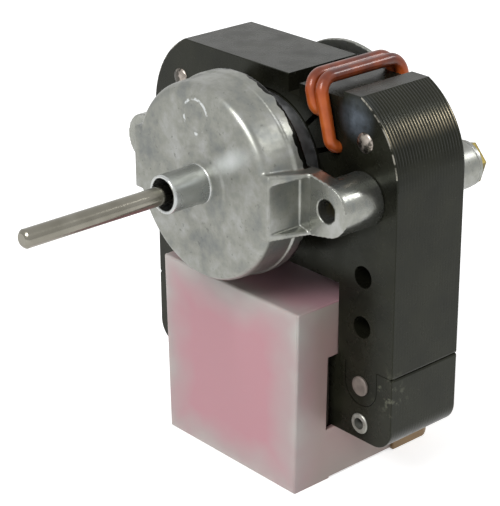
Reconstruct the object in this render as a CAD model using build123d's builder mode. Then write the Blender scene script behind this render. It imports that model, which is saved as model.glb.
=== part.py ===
from build123d import *
from math import cos, hypot, radians, sin, sqrt
import os

# Shaded-pole evaporator fan motor. Millimetres, +Z up, the shaft lies along Y with its
# free end towards -Y. The origin is on the shaft axis in the plane of the two front ears.
os.makedirs("parts", exist_ok=True)

# Stator stack
stack_width = 60.3
stack_length = 15.6
stack_front = 8.45
stack_top = 16.7
stack_corner = 15.5
corner_foot = 2.85
window_half = 17.4
seam_z = -30.1
bore_radius = 13.0
notch_left = 5.0
notch_width = 2.6
notch_wall = 0.5
relief_right = 17.9
relief_wall = 2.6
stack_rear = stack_front + stack_length
stack_half = stack_width / 2
notch_floor = bore_radius + notch_wall
relief_floor = bore_radius + relief_wall
shoulder_x = stack_half - stack_corner + sqrt(stack_corner**2 - (stack_top - corner_foot) ** 2)

# Holes through the legs
leg_hole_inset = 0.775
leg_hole_height = (16.3, 7.25)
leg_hole_radius = 1.95
upper_rivet_inset = 0.2
upper_rivet_z = 9.35
rivet_radius = 1.55
rivet_gap = 0.05
rivet_lip = 0.2
rivet_head_height = 0.5
head_bevel = 0.3
tongue_radius = 3.6
tongue_reach = 3.6
socket_gap = 0.1
tongue_z = seam_z - tongue_reach
leg_hole_x = (stack_half + window_half) / 2 - leg_hole_inset
upper_rivet_x = leg_hole_x - upper_rivet_inset
leg_hole_places = [(side * leg_hole_x, seam_z + height) for side in (-1, 1) for height in leg_hole_height]
tongue_places = [(-leg_hole_x, tongue_z), (leg_hole_x, tongue_z)]
rivet_places = [(-upper_rivet_x, upper_rivet_z), (upper_rivet_x, upper_rivet_z)] + tongue_places

# Coil core bar
bar_height = 13.8
bar_corner = 4.0
eyelet_height = 3.1
eyelet_radius = 1.85
eyelet_bore = 1.05
eyelet_lip = 0.35
eyelet_flange = 0.3
eyelet_bevel = 0.15
eyelet_gap = 0.05
bar_bottom = seam_z - bar_height
eyelet_places = [(-leg_hole_x, bar_bottom + eyelet_height), (leg_hole_x, bar_bottom + eyelet_height)]

# Shading coils, upper pair: the angle of each slot and its depth beyond the bore, and where
# the wire lies on top. The lower pair is the same turned half round the shaft.
wire_radius = 1.07
loop_corner_slot = 1.7
loop_corner_top = 2.6
loop_front = 1.25
loop_rear = 1.45
inner_slot_angle = 44.0
inner_slot_depth = 4.7
outer_slot_angle = 23.0
outer_slot_depth = 4.9
loop_top_x = 11.25
loop_top_height = 2.35
loop_spacing = 0.21
slot_clearance = 0.18
slot_mouth = 0.9
slot_radius = wire_radius + slot_clearance
slots = [(inner_slot_angle, inner_slot_depth), (outer_slot_angle, outer_slot_depth)]

# Coil, bobbin and covers
cover_reach = 9.25
cover_overlap = 1.15
cover_above = 10.2
cover_below = 10.1
cover_side_gap = 0.1
cover_taper = 0.7
cover_wall = 0.9
bar_window = 1.9
bar_window_gap = 0.05
cover_step_back = 0.85
cover_step = 0.3
end_cover_reach = 8.85
end_cover_inset = 0.1
end_cover_drop = 0.2
end_cover_corner = 2.5
cover_edge = 0.5
bobbin_side_gap = 0.2
bobbin_wall = 1.0
bobbin_gap = 0.15
flange_margin = 0.35
winding_margin = 0.9
winding_corner = 4.0
tape_thickness = 0.3
cover_top = seam_z + cover_above
cover_bottom = bar_bottom - cover_below
cover_front = stack_front - cover_reach
cover_split = stack_rear - cover_overlap
cover_half_top = window_half - cover_side_gap
cover_half_bottom = cover_half_top - cover_taper
end_cover_rear = stack_rear + end_cover_reach
end_cover_half = cover_half_top - end_cover_inset
end_cover_top = cover_top - end_cover_drop
bobbin_half = cover_half_bottom - cover_wall - bobbin_side_gap

# Through screws and the ears they join
ear_spacing = 45.7
ear_radius = 4.45
rear_ear_radius = 4.15
ear_draft = 1.0
ear_plate = 2.9
screw_radius = 1.75
screw_gap = 0.2
thread_gap = 0.025
ear_hole_depth = 4.4
screw_gap_stack = 0.25
screw_grip = 3.85
screw_head_flats = 6.6
screw_head_height = 2.4
screw_chamfer = 0.3
ear_hole_radius = screw_radius + screw_gap
ear_places = [(-ear_spacing / 2, 0), (ear_spacing / 2, 0)]

# End bells
bell_radius = 17.1
bell_wall = 1.6
bell_face = -6.8
bell_step = 0.25
bell_round = 1.5
front_rim = 2.0
rim_lip = 0.25
rim_lip_y = -0.45
cavity_inset = 0.4
cavity_bevel = 1.2
arm_half = 5.2
arm_lift = 0.7
arm_inset = 0.25
arm_round = 0.6
gusset_reach = 2.15
gusset_width = 1.1
gusset_draft = 15
boss_radius = 3.3
boss_length = 7.75
boss_bore = 2.75
boss_edge = 0.35
pad_width = 3.0
pad_height = 0.15
mark_place = (-0.5, 11.4)
mark_radius = 3.15
mark_width = 0.4
mark_height = 0.15
rear_rim_gap = 2.95
rear_post = 7.6
rear_slope = 4.5
rear_lip = 0.6
rear_round = 1.0
rear_hub_length = 5.95
hub_end_wall = 0.7
oil_hole_radius = 0.8
bell_shoulder = bell_radius - bell_step
bell_flat = bell_shoulder - bell_round
arm_wall = bell_radius - arm_inset
gusset_tip = arm_wall + gusset_reach
rim_radius = bell_radius + rim_lip
pad_radius = boss_radius + pad_width
rear_rim = stack_rear + rear_rim_gap
rear_face = stack_rear + rear_post
rear_flat = bell_radius - rear_slope
rear_hub_end = rear_face + rear_hub_length

# Bearings, each a sphere in a conical seat, held by a felt wick and a retainer
shaft_radius = 3.175 / 2
bearing_clearance = 0.03
bearing_sphere = 4.4
bearing_seat_gap = 0.055
bearing_end_gap = 0.2
front_bearing_depth = 4.8
rear_bearing_depth = 0.95
wick_space = 1.1
wick_length = 2.2
seat_gap = 0.1
seat_lip = 0.25
retainer_thickness = 0.4
retainer_overlap = 0.5
hub_wall = 1.7
hub_lip = 0.3
seat_mouth = boss_bore + seat_lip
seat_depth = sqrt(2) * (bearing_sphere + bearing_seat_gap) - seat_mouth
bearing_half = seat_depth - bearing_end_gap
front_bearing_y = bell_face + bell_wall + front_bearing_depth
rear_bearing_y = rear_face + rear_bearing_depth
hub_bore = bearing_sphere + wick_space
hub_radius = hub_bore + hub_wall
hub_inside = wick_length + seat_gap + retainer_thickness + hub_lip
retainer_bore = bearing_sphere - retainer_overlap

# Rotor
press_gap = 0.02
air_gap = 0.3
bar_count = 17
cage_bar_radius = 1.0
cage_bar_depth = 1.4
end_ring_length = 2.6
end_ring_width = 3.8
end_ring_margin = 0.15
shaft_reach = 27.35
shaft_end_gap = 0.3
shaft_chamfer = 0.5
groove_lead = 0.25
groove_width = 0.6
groove_depth = 0.2
washer_radius = 3.1
washer_length = 0.8
thrust_gap = 0.2
sleeve_radius = 2.7
rotor_radius = bore_radius - air_gap
cage_pitch_radius = rotor_radius - cage_bar_depth
end_ring_radius = cage_pitch_radius + cage_bar_radius + end_ring_margin
shaft_tip = bell_face - boss_length - shaft_reach
shaft_rear = rear_hub_end - hub_end_wall - shaft_end_gap


def face_plane(y):
    """Plane square to the shaft at depth y, with local x = X and local y = Z."""
    return Plane.XZ.offset(-y)


def save(piece, label):
    piece.part.label = label
    export_step(piece.part, f"parts/{label}.step")


# Stator stack: round-shouldered yoke, bore, shading slots, two legs with rounded tongues
with BuildPart() as stator_stack:
    with BuildSketch(face_plane(stack_front)):
        with BuildLine():
            Line((-stack_half, seam_z), (-stack_half, corner_foot))
            RadiusArc((-stack_half, corner_foot), (-shoulder_x, stack_top), stack_corner)
            Line((-shoulder_x, stack_top), (shoulder_x, stack_top))
            RadiusArc((shoulder_x, stack_top), (stack_half, corner_foot), stack_corner)
            Polyline((stack_half, corner_foot), (stack_half, seam_z), (window_half, seam_z),
                     (window_half, -stack_top), (-window_half, -stack_top), (-window_half, seam_z),
                     (-stack_half, seam_z))
        make_face()
        with Locations(*tongue_places):
            Circle(tongue_radius)
            Rectangle(2 * tongue_radius, tongue_reach, align=(Align.CENTER, Align.MIN))
        Circle(bore_radius, mode=Mode.SUBTRACT)
        for turn, relief_end in ((0, relief_right), (180, window_half)):
            with PolarLocations(0, 1, start_angle=turn):
                with Locations((notch_left, notch_floor)):
                    Rectangle(notch_width, stack_top - notch_floor, align=(Align.MIN, Align.MIN),
                              mode=Mode.SUBTRACT)
                with Locations((notch_left + notch_width, relief_floor)):
                    Rectangle(relief_end - notch_left - notch_width, stack_top - relief_floor,
                              align=(Align.MIN, Align.MIN), mode=Mode.SUBTRACT)
        for slot_angle, slot_depth in slots:
            with PolarLocations(bore_radius + slot_depth, 2, start_angle=slot_angle):
                Circle(slot_radius, mode=Mode.SUBTRACT)
            with PolarLocations(bore_radius, 2, start_angle=slot_angle):
                Rectangle(2 * slot_depth, slot_mouth, mode=Mode.SUBTRACT)
    extrude(amount=-stack_length)
    with BuildSketch(face_plane(stack_front)):
        with Locations(*leg_hole_places):
            Circle(leg_hole_radius)
        with Locations(*rivet_places):
            Circle(rivet_radius + rivet_gap)
        with Locations(*ear_places):
            Circle(screw_radius + screw_gap_stack)
    extrude(amount=-stack_length, mode=Mode.SUBTRACT)
save(stator_stack, "stator_stack")

# Coil core bar, with a socket for each leg tongue
with BuildPart() as coil_core_bar:
    with BuildSketch(face_plane(stack_front)) as bar_outline:
        with Locations((0, bar_bottom)):
            Rectangle(stack_width, bar_height, align=(Align.CENTER, Align.MIN))
        fillet(bar_outline.vertices().group_by(Axis.Y)[0], bar_corner)
        with Locations(*tongue_places):
            Circle(tongue_radius + socket_gap, mode=Mode.SUBTRACT)
            Rectangle(2 * (tongue_radius + socket_gap), tongue_reach, align=(Align.CENTER, Align.MIN),
                      mode=Mode.SUBTRACT)
        with Locations(*eyelet_places):
            Circle(eyelet_radius - eyelet_lip + eyelet_gap, mode=Mode.SUBTRACT)
    extrude(amount=-stack_length)
save(coil_core_bar, "coil_core_bar")

# Bobbin: a square tube round the bar with an end flange on each side
bar_middle = (stack_front + stack_length / 2, (seam_z + bar_bottom) / 2)
tube_inner = (stack_length + 2 * bobbin_gap, bar_height + 2 * bobbin_gap)
tube_outer = (tube_inner[0] + 2 * bobbin_wall, tube_inner[1] + 2 * bobbin_wall)
coil_front = cover_front + cover_wall + flange_margin
coil_rear = end_cover_rear - end_cover_corner
coil_top = cover_top - cover_wall - flange_margin
coil_bottom = cover_bottom + cover_wall + flange_margin
coil_middle = ((coil_front + coil_rear) / 2, (coil_top + coil_bottom) / 2)
coil_size = (coil_rear - coil_front, coil_top - coil_bottom)
with BuildPart() as bobbin:
    with BuildSketch(Plane.YZ):
        with Locations(bar_middle):
            Rectangle(*tube_outer)
    extrude(amount=bobbin_half, both=True)
    for side in (-1, 1):
        with BuildSketch(Plane.YZ.offset(side * bobbin_half)) as flange:
            with Locations(coil_middle):
                Rectangle(*coil_size)
            fillet(flange.vertices(), winding_corner / 2)
        extrude(amount=-side * bobbin_wall)
    with BuildSketch(Plane.YZ):
        with Locations(bar_middle):
            Rectangle(*tube_inner)
    extrude(amount=bobbin_half, both=True, mode=Mode.SUBTRACT)
save(bobbin, "bobbin")

# Enamelled winding
winding_size = (coil_size[0] - 2 * winding_margin, coil_size[1] - 2 * winding_margin)
with BuildPart() as coil_winding:
    with BuildSketch(Plane.YZ):
        with Locations(coil_middle):
            RectangleRounded(*winding_size, winding_corner)
        with Locations(bar_middle):
            Rectangle(*tube_outer, mode=Mode.SUBTRACT)
    extrude(amount=bobbin_half - bobbin_wall, both=True)
save(coil_winding, "coil_winding")

# Tape wrapped round the winding
with BuildPart() as coil_tape:
    with BuildSketch(Plane.YZ):
        with Locations(coil_middle):
            RectangleRounded(winding_size[0] + 2 * tape_thickness, winding_size[1] + 2 * tape_thickness,
                             winding_corner + tape_thickness)
            RectangleRounded(*winding_size, winding_corner, mode=Mode.SUBTRACT)
    extrude(amount=bobbin_half - bobbin_wall, both=True)
save(coil_tape, "coil_tape")

# Moulded coil covers: the front shell slides on between the legs, the end shell closes it
window_low = bar_bottom - bar_window_gap
window_high = seam_z + bar_window_gap
window_middle = (window_low + window_high) / 2

with BuildPart() as coil_cover:
    with BuildSketch(face_plane(cover_front)):
        Polygon((-cover_half_top, cover_top), (cover_half_top, cover_top),
                (cover_half_bottom, cover_bottom), (-cover_half_bottom, cover_bottom), align=None)
    extrude(amount=cover_front - cover_split)
    fillet(coil_cover.edges().filter_by(Axis.Y, reverse=True).group_by(Axis.Y)[0], cover_edge)
    offset(amount=-cover_wall, openings=coil_cover.faces().sort_by(Axis.Y)[-1])
    with BuildSketch(Plane.YZ):
        with Locations((stack_front - bar_window, window_middle)):
            Rectangle(cover_split, window_high - window_low, align=(Align.MIN, Align.CENTER))
        with Locations((stack_front - cover_step_back, cover_bottom + cover_step)):
            Rectangle(cover_split, cover_wall, align=(Align.MIN, Align.MAX))
    extrude(amount=stack_half, both=True, mode=Mode.SUBTRACT)
save(coil_cover, "coil_cover")

with BuildPart() as coil_end_cover:
    with BuildSketch(face_plane(cover_split)):
        with Locations((0, cover_bottom)):
            Rectangle(2 * end_cover_half, end_cover_top - cover_bottom, align=(Align.CENTER, Align.MIN))
    extrude(amount=cover_split - end_cover_rear)
    fillet(coil_end_cover.edges().filter_by(Axis.Y, reverse=True).group_by(Axis.Y)[-1], end_cover_corner)
    offset(amount=-cover_wall, openings=coil_end_cover.faces().sort_by(Axis.Y)[0])
    with BuildSketch(Plane.YZ):
        with Locations((stack_rear + bar_window_gap, window_middle)):
            Rectangle(stack_length, window_high - window_low, align=(Align.MAX, Align.CENTER))
    extrude(amount=stack_half, both=True, mode=Mode.SUBTRACT)
save(coil_end_cover, "coil_end_cover")


def shading_coil(slot, top):
    """Closed loop of round wire through one slot and over the outside of the pole."""
    height = hypot(top[0] - slot[0], top[1] - slot[1])
    middle = Vector((slot[0] + top[0]) / 2, (stack_front + stack_rear) / 2, (slot[1] + top[1]) / 2)
    rise = Vector(top[0] - slot[0], 0, top[1] - slot[1])
    loop_plane = Plane(origin=middle, x_dir=Vector(0, 1, 0), z_dir=Vector(0, 1, 0).cross(rise))
    low = stack_front - loop_front - middle.Y
    high = stack_rear + loop_rear - middle.Y
    corners = (loop_corner_slot, loop_corner_slot, loop_corner_top, loop_corner_top)
    with BuildPart() as coil:
        with BuildLine(loop_plane) as loop:
            FilletPolyline((low, -height / 2), (high, -height / 2), (high, height / 2),
                           (low, height / 2), radius=corners, close=True)
        with BuildSketch(Plane(origin=loop.line @ 0, z_dir=loop.line % 0)):
            Circle(wire_radius)
        sweep(path=loop.line)
    return coil


loop_pitch = 2 * wire_radius + loop_spacing
for place, (slot_angle, slot_depth), top_x in (("inner", slots[0], loop_top_x),
                                               ("outer", slots[1], loop_top_x + loop_pitch)):
    slot_x = (bore_radius + slot_depth) * cos(radians(slot_angle))
    slot_z = (bore_radius + slot_depth) * sin(radians(slot_angle))
    top_z = relief_floor + loop_top_height
    save(shading_coil((slot_x, slot_z), (top_x, top_z)), f"shading_coil_upper_{place}")
    save(shading_coil((-slot_x, -slot_z), (-top_x, -top_z)), f"shading_coil_lower_{place}")

# Front end bell: thin die-cast cup with a nose boss, two arms with gussets, ears and hollow posts
with BuildPart() as front_bell:
    # arm block first, while its edges are plain: it widens towards the ears and is round on top
    with BuildSketch(Plane.XY) as arm_plan:
        Polygon((0, bell_face), (arm_wall, bell_face), (gusset_tip, 0), (gusset_tip, ear_plate),
                (0, ear_plate), align=None)
        mirror(about=Plane.YZ)
    extrude(amount=arm_half + arm_lift, both=True)
    with BuildSketch(Plane.YZ) as arm_side:
        Polygon((bell_face, arm_half + arm_lift), (0, arm_half), (ear_plate, arm_half),
                (ear_plate, -arm_half), (bell_face, -arm_half), align=None)
    extrude(amount=gusset_tip, both=True, mode=Mode.INTERSECT)
    arm_edges = front_bell.edges().filter_by(lambda e: e.center().Y < 0 and e.center().Z > arm_half / 2)
    fillet(arm_edges.filter_by(Axis.Z, reverse=True), arm_round)
    with BuildSketch(Plane.XY):
        with BuildLine():
            Polyline((bell_flat, bell_face), (0, bell_face), (0, front_rim), (rim_radius, front_rim),
                     (rim_radius, rim_lip_y), (bell_radius, rim_lip_y),
                     (bell_shoulder, bell_face + bell_round))
            CenterArc((bell_flat, bell_face + bell_round), bell_round, 270, 90)
        make_face()
    revolve(axis=Axis.Y)
    # the wall stands back between the two gussets of each arm
    for side in (-1, 1):
        with BuildSketch(Plane.YZ.offset(side * arm_wall)):
            Rectangle(-2 * bell_face, 2 * (arm_half - gusset_width))
        extrude(amount=side * 2 * gusset_reach, taper=-gusset_draft, mode=Mode.SUBTRACT)
    with BuildSketch(face_plane(0)):
        Rectangle(2 * gusset_tip, 2 * arm_half)
        with Locations(*ear_places):
            Circle(ear_radius)
        make_hull()
    extrude(amount=-ear_plate)
    with BuildSketch(face_plane(0)):
        with Locations(*ear_places):
            Circle(ear_radius)
    extrude(amount=-stack_front, taper=-ear_draft)
    # hollow inside, then the bearing hub back in, then the bore and its seat
    with BuildSketch(Plane.XY):
        Polygon((0, bell_face + bell_wall), (bell_flat - cavity_inset, bell_face + bell_wall),
                (bell_shoulder - bell_wall, bell_face + bell_wall + cavity_bevel),
                (bell_radius - bell_wall, ear_plate), (0, ear_plate), align=None)
    revolve(axis=Axis.Y, mode=Mode.SUBTRACT)
    with BuildSketch(face_plane(bell_face + bell_wall)):
        Circle(hub_radius)
    extrude(amount=bell_face + bell_wall - front_bearing_y - hub_inside)
    with BuildSketch(Plane.XY):
        Polygon((0, front_bearing_y - seat_depth), (seat_mouth, front_bearing_y - seat_depth),
                (hub_bore, front_bearing_y - seat_depth + hub_bore - seat_mouth),
                (hub_bore, front_bearing_y + hub_inside), (0, front_bearing_y + hub_inside), align=None)
    revolve(axis=Axis.Y, mode=Mode.SUBTRACT)
    # nose boss on a shallow raised pad, and the round mould mark above it
    with BuildSketch(face_plane(bell_face)):
        Circle(pad_radius)
    extrude(amount=pad_height, taper=45)
    with BuildSketch(face_plane(bell_face)):
        Circle(boss_radius)
    extrude(amount=boss_length)
    fillet(front_bell.edges().group_by(Axis.Y)[0], boss_edge)
    with BuildSketch(face_plane(bell_face)):
        with Locations(mark_place):
            Circle(mark_radius)
            Circle(mark_radius - mark_width, mode=Mode.SUBTRACT)
    extrude(amount=mark_height)
    with BuildSketch(face_plane(bell_face - boss_length)):
        Circle(boss_bore)
    extrude(amount=-boss_length - bell_wall - front_bearing_depth, mode=Mode.SUBTRACT)
    with BuildSketch(face_plane(0)):
        with Locations(*ear_places):
            Circle(ear_hole_radius)
    extrude(amount=-ear_hole_depth, mode=Mode.SUBTRACT)
    with BuildSketch(face_plane(ear_hole_depth)):
        with Locations(*ear_places):
            Circle(screw_radius + thread_gap)
    extrude(amount=ear_hole_depth - stack_front, mode=Mode.SUBTRACT)
save(front_bell, "front_bell")

# Rear end bell: shallower cup with a closed hub, ears and hollow posts for the screws
with BuildPart() as rear_bell:
    with BuildSketch(Plane.XY):
        Polygon((0, rear_rim), (rim_radius, rear_rim), (rim_radius, rear_rim + rear_lip),
                (rear_flat, rear_face), (0, rear_face), align=None)
    revolve(axis=Axis.Y)
    fillet(rear_bell.edges().group_by(Axis.Y)[-1], rear_round)
    with BuildSketch(face_plane(rear_face)):
        Rectangle(2 * rear_flat, 2 * arm_half)
        with Locations(*ear_places):
            Circle(rear_ear_radius)
        make_hull()
    extrude(amount=ear_plate)
    with BuildSketch(face_plane(rear_face)):
        with Locations(*ear_places):
            Circle(rear_ear_radius)
    extrude(amount=rear_face - stack_rear, taper=-ear_draft)
    with BuildSketch(Plane.XY):
        Polygon((0, rear_rim), (bell_radius - bell_wall, rear_rim),
                (bell_radius - bell_wall, rear_rim + rear_lip),
                (rear_flat - bell_wall, rear_face - bell_wall),
                (0, rear_face - bell_wall), align=None)
    revolve(axis=Axis.Y, mode=Mode.SUBTRACT)
    with BuildSketch(face_plane(rear_hub_end)):
        Circle(hub_radius)
    extrude(amount=rear_hub_end - rear_bearing_y + hub_inside)
    fillet(rear_bell.edges().group_by(Axis.Y)[-1], rear_round)
    with BuildSketch(Plane.XY):
        Polygon((0, rear_bearing_y - hub_inside), (hub_bore, rear_bearing_y - hub_inside),
                (hub_bore, rear_bearing_y + seat_depth + seat_mouth - hub_bore),
                (seat_mouth, rear_bearing_y + seat_depth), (seat_mouth, rear_hub_end - hub_end_wall),
                (0, rear_hub_end - hub_end_wall), align=None)
    revolve(axis=Axis.Y, mode=Mode.SUBTRACT)
    with BuildSketch(face_plane(rear_face)):
        with Locations(*ear_places):
            Circle(ear_hole_radius)
    extrude(amount=rear_face - stack_rear, mode=Mode.SUBTRACT)
    with BuildSketch(Plane.XY.offset(hub_radius)):
        with Locations((0, (rear_face + rear_hub_end) / 2)):
            Circle(oil_hole_radius)
    extrude(amount=seat_mouth - hub_radius, mode=Mode.SUBTRACT)
save(rear_bell, "rear_bell")


def bearing(y):
    """Self-aligning sintered bearing: a sphere cut flat at both ends and bored."""
    with BuildPart() as piece:
        with Locations((0, y, 0)):
            Sphere(bearing_sphere)
        split(bisect_by=Plane.XZ.offset(bearing_half - y), keep=Keep.BOTTOM)
        split(bisect_by=Plane.XZ.offset(-bearing_half - y), keep=Keep.TOP)
        with BuildSketch(face_plane(y)):
            Circle(shaft_radius + bearing_clearance)
        extrude(amount=bearing_half, both=True, mode=Mode.SUBTRACT)
    return piece


def ring(y, length, outer, inner):
    """Plain ring round the shaft, from depth y backwards."""
    with BuildPart() as piece:
        with BuildSketch(face_plane(y)):
            Circle(outer)
            Circle(inner, mode=Mode.SUBTRACT)
        extrude(amount=-length)
    return piece


# Bearings, felt wicks and retainers inside the two hubs
save(bearing(front_bearing_y), "front_bearing")
save(bearing(rear_bearing_y), "rear_bearing")
wick_outer = hub_bore - seat_gap
wick_inner = bearing_sphere + seat_gap
save(ring(front_bearing_y, wick_length, wick_outer, wick_inner), "front_oil_wick")
save(ring(rear_bearing_y - wick_length, wick_length, wick_outer, wick_inner), "rear_oil_wick")
retainer_y = wick_length + seat_gap
save(ring(front_bearing_y + retainer_y, retainer_thickness, hub_bore, retainer_bore),
     "front_bearing_retainer")
save(ring(rear_bearing_y - retainer_y - retainer_thickness, retainer_thickness, hub_bore, retainer_bore),
     "rear_bearing_retainer")

# Shaft with a chamfer at each end and an oil groove at the mouth of the nose boss
with BuildPart() as shaft:
    with BuildSketch(face_plane(shaft_tip)):
        Circle(shaft_radius)
    extrude(amount=shaft_tip - shaft_rear)
    chamfer(shaft.edges(), shaft_chamfer)
    with BuildSketch(face_plane(bell_face - boss_length - groove_lead)):
        Circle(shaft_radius)
        Circle(shaft_radius - groove_depth, mode=Mode.SUBTRACT)
    extrude(amount=-groove_width, mode=Mode.SUBTRACT)
save(shaft, "shaft")

# Laminated rotor core with a hole for each cage bar
with BuildPart() as rotor_core:
    with BuildSketch(face_plane(stack_front)):
        Circle(rotor_radius)
        Circle(shaft_radius + press_gap, mode=Mode.SUBTRACT)
        with PolarLocations(cage_pitch_radius, bar_count):
            Circle(cage_bar_radius + press_gap, mode=Mode.SUBTRACT)
    extrude(amount=-stack_length)
save(rotor_core, "rotor_core")

# Cast cage: the bars through the core and a ring at each end
with BuildPart() as rotor_cage:
    with BuildSketch(face_plane(stack_front)):
        with PolarLocations(cage_pitch_radius, bar_count):
            Circle(cage_bar_radius)
    extrude(amount=-stack_length)
    with BuildSketch(face_plane(stack_front), face_plane(stack_rear + end_ring_length)):
        Circle(end_ring_radius)
        Circle(end_ring_radius - end_ring_width, mode=Mode.SUBTRACT)
    extrude(amount=end_ring_length)
save(rotor_cage, "rotor_cage")

# Sleeves and thrust washers on the shaft
front_washer_y = front_bearing_y + bearing_half + thrust_gap
rear_washer_y = rear_bearing_y - bearing_half - thrust_gap - washer_length
sleeve_bore = shaft_radius + press_gap
save(ring(front_washer_y, washer_length, washer_radius, sleeve_bore), "front_thrust_washer")
save(ring(rear_washer_y, washer_length, washer_radius, sleeve_bore), "rear_thrust_washer")
save(ring(front_washer_y + washer_length, stack_front - front_washer_y - washer_length, sleeve_radius,
          sleeve_bore), "front_sleeve")
save(ring(stack_rear, rear_washer_y - stack_rear, sleeve_radius, sleeve_bore), "rear_sleeve")

# Through screws: hexagon heads on the rear ears, tips inside the front posts
with BuildPart() as through_screws:
    with BuildSketch(face_plane(rear_face)):
        with Locations(*ear_places):
            Circle(screw_radius)
    extrude(amount=rear_face - stack_front + screw_grip)
    with BuildSketch(face_plane(rear_face)):
        with Locations(*ear_places):
            RegularPolygon(screw_head_flats / 2, 6, major_radius=False, rotation=30)
    extrude(amount=-screw_head_height)
    chamfer(through_screws.edges().group_by(Axis.Y)[-1], screw_chamfer)
    chamfer(through_screws.edges().group_by(Axis.Y)[0], screw_chamfer)
save(through_screws, "through_screws")

# Rivets through the corners and the leg tongues
with BuildPart() as stack_rivets:
    with BuildSketch(face_plane(stack_front)):
        with Locations(*rivet_places):
            Circle(rivet_radius)
    extrude(amount=-stack_length)
    for head_y, head_height in ((stack_front, rivet_head_height), (stack_rear, -rivet_head_height)):
        with BuildSketch(face_plane(head_y)):
            with Locations(*rivet_places):
                Circle(rivet_radius + rivet_lip)
        extrude(amount=head_height)
    chamfer(stack_rivets.edges().group_by(Axis.Y)[0], head_bevel)
    chamfer(stack_rivets.edges().group_by(Axis.Y)[-1], head_bevel)
save(stack_rivets, "stack_rivets")

# Hollow eyelets through the coil core bar
with BuildPart() as bar_eyelets:
    with BuildSketch(face_plane(stack_front)):
        with Locations(*eyelet_places):
            Circle(eyelet_radius - eyelet_lip)
    extrude(amount=-stack_length)
    for flange_y, flange_height in ((stack_front, eyelet_flange), (stack_rear, -eyelet_flange)):
        with BuildSketch(face_plane(flange_y)):
            with Locations(*eyelet_places):
                Circle(eyelet_radius)
        extrude(amount=flange_height)
    chamfer(bar_eyelets.edges().group_by(Axis.Y)[0], eyelet_bevel)
    with BuildSketch(face_plane(stack_front - eyelet_flange)):
        with Locations(*eyelet_places):
            Circle(eyelet_bore)
    extrude(amount=-stack_length - 2 * eyelet_flange, mode=Mode.SUBTRACT)
save(bar_eyelets, "bar_eyelets")
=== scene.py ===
import math

import bmesh
import bpy
from mathutils import Matrix, Vector


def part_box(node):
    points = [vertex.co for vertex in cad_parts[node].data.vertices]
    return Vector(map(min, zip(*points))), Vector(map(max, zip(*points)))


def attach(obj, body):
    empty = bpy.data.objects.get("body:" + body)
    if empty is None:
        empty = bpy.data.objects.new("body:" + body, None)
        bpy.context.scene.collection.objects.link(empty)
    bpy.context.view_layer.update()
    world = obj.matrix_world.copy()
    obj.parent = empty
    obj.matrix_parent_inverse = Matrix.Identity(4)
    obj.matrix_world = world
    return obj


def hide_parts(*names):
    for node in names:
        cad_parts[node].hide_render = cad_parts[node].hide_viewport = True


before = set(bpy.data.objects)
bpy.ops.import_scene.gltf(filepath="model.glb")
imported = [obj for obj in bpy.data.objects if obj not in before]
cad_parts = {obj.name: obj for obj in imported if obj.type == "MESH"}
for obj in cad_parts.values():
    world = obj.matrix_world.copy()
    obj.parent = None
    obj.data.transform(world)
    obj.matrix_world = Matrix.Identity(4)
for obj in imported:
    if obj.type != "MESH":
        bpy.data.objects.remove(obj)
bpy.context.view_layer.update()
print("frame loaded:", len(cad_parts), "nodes")

mm = 0.001


camera = {
    "place": (208.824, -180.154, 105.464),  # mm
    "azimuth": 48.556,  # degrees, turned from the front towards the right
    "down": 23.495,
    "roll": 0.342,
    "lens": 126.65,  # mm on a 36 mm sensor, for a frame of 500 by 506
}


def makeCamera(c):
    data = bpy.data.cameras.new("productCamera")
    data.sensor_width = 36
    data.lens = c["lens"]
    data.clip_start = 0.02
    data.clip_end = 20
    obj = bpy.data.objects.new("productCamera", data)
    turn = Matrix.Rotation(math.radians(c["azimuth"]), 4, "Z")
    tilt = Matrix.Rotation(math.radians(90 - c["down"]), 4, "X")
    roll = Matrix.Rotation(math.radians(-c["roll"]), 4, "Z")
    obj.matrix_world = Matrix.Translation(Vector(c["place"]) * mm) @ turn @ tilt @ roll
    bpy.context.scene.collection.objects.link(obj)
    bpy.context.scene.camera = obj


makeCamera(camera)
bpy.context.scene.view_settings.view_transform = "Standard"
print("camera placed")


def hexColor(code):
    parts = [int(code[i:i + 2], 16) / 255 for i in (1, 3, 5)]
    return tuple(p / 12.92 if p <= 0.04045 else ((p + 0.055) / 1.055) ** 2.4 for p in parts) + (1.0,)


def perMm(size):
    return 1.0 / (size * mm)  # texture scale for a pattern of this size


def addNode(tree, kind, settings=None, inputs=None, links=None, ramp=None):
    # a node given as a link's source stands for its first output
    node = tree.nodes.new("ShaderNode" + kind)
    for name, value in (settings or {}).items():
        setattr(node, name, value)
    for name, value in (inputs or {}).items():
        node.inputs[name].default_value = value
    for name, source in (links or {}).items():
        tree.links.new(source.outputs[0] if hasattr(source, "outputs") else source, node.inputs[name])
    if ramp:
        stops = node.color_ramp.elements
        while len(stops) < len(ramp):
            stops.new(1.0)
        for stop, (place, shade) in zip(stops, ramp):
            stop.position = place
            stop.color = hexColor(shade) if isinstance(shade, str) else (shade, shade, shade, 1.0)
    return node


def newMaterial(name, sockets):
    material = bpy.data.materials.new(name)
    material.use_nodes = True
    tree = material.node_tree
    shader = tree.nodes["Principled BSDF"]
    for key, value in sockets.items():
        shader.inputs[key].default_value = value
    place = addNode(tree, "TexCoord").outputs["Object"]
    return material, tree, shader, place


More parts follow.
